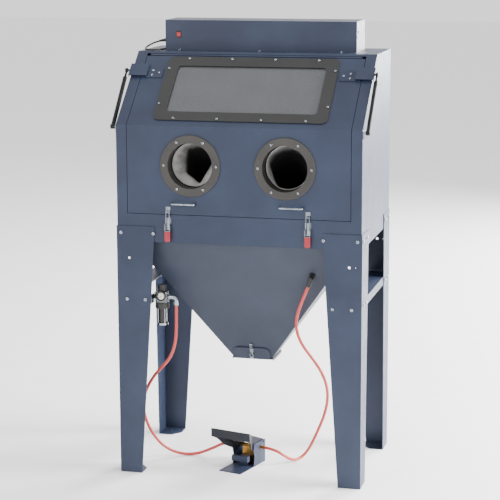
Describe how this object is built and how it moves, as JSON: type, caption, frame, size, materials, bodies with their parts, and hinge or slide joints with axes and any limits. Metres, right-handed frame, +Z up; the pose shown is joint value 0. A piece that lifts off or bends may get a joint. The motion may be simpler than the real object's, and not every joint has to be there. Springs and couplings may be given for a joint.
{
  "type": "sandblast cabinet",
  "caption": "Floor-standing sheet-steel blasting enclosure with lift-up front door, sealed window, glove ports, funnel hopper, roof light box, air regulator and foot pedal.",
  "frame": {"origin": "on the floor, at the centre of the four foot anchor holes", "axes": "+Z up, +X to the operator's right, +Y towards the rear"},
  "size_m": [1.006, 0.691, 1.754],
  "materials": {
    "blue_powder_coat": "semi-gloss powder coat, faint orange peel",
    "black_plastic": "moulded, fine texture",
    "black_rubber": "matt rubber",
    "clear_glass": "clear, slightly dusty",
    "zinc_plated_steel": "bright zinc plate",
    "black_steel": "black finished steel",
    "chromed_rod": "hard chromed rod",
    "red_plastic": "moulded grip",
    "lamp_white": "lamp glass and holders",
    "red_hose": "braided rubber air hose",
    "black_cable": "PVC cable sheath",
    "cast_aluminium": "die-cast, satin",
    "smoked_plastic": "smoked polycarbonate",
    "needle_red": "painted pointer",
    "brass": "machined brass"
  },
  "bodies": {
    "cabinet": {"blast_gun": "cast_aluminium", "cabinet_fasteners": "zinc_plated_steel", "cable_glands": "black_plastic", "front_frame": "blue_powder_coat", "hinge_leaf_body": "blue_powder_coat", "hopper_back_and_sides": "blue_powder_coat", "hopper_front": "blue_powder_coat", "hose_blast": "red_hose", "hose_supply": "red_hose", "latch_plates": "zinc_plated_steel", "legs_front": "blue_powder_coat", "legs_rear": "blue_powder_coat", "light_box": "blue_powder_coat", "light_tube": "lamp_white", "light_window": "clear_glass", "mains_coil": "black_cable", "mains_lead": "black_cable", "mains_plug": "black_cable", "pedal_base": "blue_powder_coat", "pedal_guard": "blue_powder_coat", "pedal_valve": "brass", "rear_panel": "blue_powder_coat", "regulator_body": "cast_aluminium", "regulator_bowl": "smoked_plastic", "regulator_fittings": "zinc_plated_steel", "side_panels": "blue_powder_coat", "side_rails": "blue_powder_coat", "switch_bezel": "black_plastic", "top_panel": "blue_powder_coat", "trapdoor_hinge": "zinc_plated_steel", "work_grate": "zinc_plated_steel"},
    "door": {"door_panel": "blue_powder_coat", "door_gasket": "black_rubber", "window_bezel": "black_plastic", "window_glass": "clear_glass", "door_screws": "black_steel", "glove_port_rings": "black_rubber", "glove_left": "black_rubber", "glove_right": "black_rubber", "door_handles_and_keepers": "zinc_plated_steel", "strut_brackets": "blue_powder_coat", "hinge_leaf_door": "blue_powder_coat"},
    "strut_cylinders": {"strut_cylinders": "black_steel"},
    "strut_rods": {"strut_rods": "chromed_rod"},
    "trapdoor": {"trapdoor": "blue_powder_coat", "trapdoor_seal": "black_rubber", "trap_latch_base": "zinc_plated_steel"},
    "trap_lever": {"trap_latch_lever": "zinc_plated_steel"},
    "trap_bail": {"trap_latch_bail": "zinc_plated_steel"},
    "lever_left": {"latch_lever_left": "zinc_plated_steel", "latch_grip_left": "red_plastic"},
    "lever_right": {"latch_lever_right": "zinc_plated_steel", "latch_grip_right": "red_plastic"},
    "bail_left": {"latch_bail_left": "zinc_plated_steel"},
    "bail_right": {"latch_bail_right": "zinc_plated_steel"},
    "rocker": {"switch_rocker": "red_plastic"},
    "pressure_knob": {"regulator_knob": "black_plastic"},
    "needle": {"gauge_needle": "needle_red"},
    "treadle": {"pedal_treadle": "blue_powder_coat"},
    "plunger": {"valve_plunger": "brass"}
  },
  "joints": [
    {"name": "door_lift", "type": "hinge", "parent": "cabinet", "child": "door", "pos_m": [0, -0.01664, 1.62204], "axis": [-1, 0, 0], "range_deg": [0, 70]},
    {"name": "strut_swing", "type": "hinge", "parent": "cabinet", "child": "strut_cylinders", "pos_m": [0, -0.288, 1.368], "axis": [1, 0, 0], "range_deg": [0, 11.88]},
    {"name": "strut_stroke", "type": "slide", "parent": "strut_cylinders", "child": "strut_rods", "axis": [0, 0.6789, 0.7342], "range_m": [0, 0.0988]},
    {"name": "trapdoor_drop", "type": "hinge", "parent": "cabinet", "child": "trapdoor", "pos_m": [0, 0.082, 0.4295], "axis": [1, 0, 0], "range_deg": [0, 85]},
    {"name": "trap_latch_throw", "type": "hinge", "parent": "trapdoor", "child": "trap_lever", "pos_m": [0, -0.09067, 0.44914], "axis": [-1, 0, 0], "range_deg": [0, 95]},
    {"name": "trap_bail_swing", "type": "hinge", "parent": "trap_lever", "child": "trap_bail", "pos_m": [0, -0.08569, 0.44451], "axis": [1, 0, 0], "range_deg": [0, 118.85]},
    {"name": "latch_throw_left", "type": "hinge", "parent": "cabinet", "child": "lever_left", "pos_m": [-0.273, -0.317, 0.992], "axis": [-1, 0, 0], "range_deg": [0, 95]},
    {"name": "bail_swing_left", "type": "hinge", "parent": "lever_left", "child": "bail_left", "pos_m": [-0.273, -0.3125, 0.982], "axis": [1, 0, 0], "range_deg": [0, 118.85]},
    {"name": "latch_throw_right", "type": "hinge", "parent": "cabinet", "child": "lever_right", "pos_m": [0.273, -0.317, 0.992], "axis": [-1, 0, 0], "range_deg": [0, 95]},
    {"name": "bail_swing_right", "type": "hinge", "parent": "lever_right", "child": "bail_right", "pos_m": [0.273, -0.3125, 0.982], "axis": [1, 0, 0], "range_deg": [0, 118.85]},
    {"name": "light_switch", "type": "hinge", "parent": "cabinet", "child": "rocker", "pos_m": [-0.33, 0.064, 1.698], "axis": [-1, 0, 0], "range_deg": [0, 16]},
    {"name": "pressure_set", "type": "hinge", "parent": "cabinet", "child": "pressure_knob", "pos_m": [-0.314, -0.262, 0.74], "axis": [0, 0, 1], "range_deg": [0, 270]},
    {"name": "gauge_reading", "type": "hinge", "parent": "cabinet", "child": "needle", "pos_m": [-0.31, -0.292, 0.714], "axis": [0, 1, 0], "range_deg": [0, 135.1]},
    {"name": "treadle_press", "type": "hinge", "parent": "cabinet", "child": "treadle", "pos_m": [-0.00648, -0.0452, 0.086], "axis": [0.9636, -0.2672, 0], "range_deg": [0, 10], "stiffness_Nm_per_rad": 6, "springref_deg": -17.19},
    {"name": "plunger_press", "type": "slide", "parent": "cabinet", "child": "plunger", "axis": [0, 0, -1], "range_m": [0, 0.00561]}
  ],
  "couplings": [
    {"joint": "strut_swing", "follows": "door_lift", "ratio": 0.16966},
    {"joint": "strut_stroke", "follows": "door_lift", "m_per_rad": 0.080778},
    {"joint": "trap_bail_swing", "follows": "trap_latch_throw", "ratio": 1.25},
    {"joint": "bail_swing_left", "follows": "latch_throw_left", "ratio": 1.25},
    {"joint": "bail_swing_right", "follows": "latch_throw_right", "ratio": 1.25},
    {"joint": "gauge_reading", "follows": "pressure_set", "ratio": 0.5},
    {"joint": "plunger_press", "follows": "treadle_press", "m_per_rad": 0.032086}
  ]
}
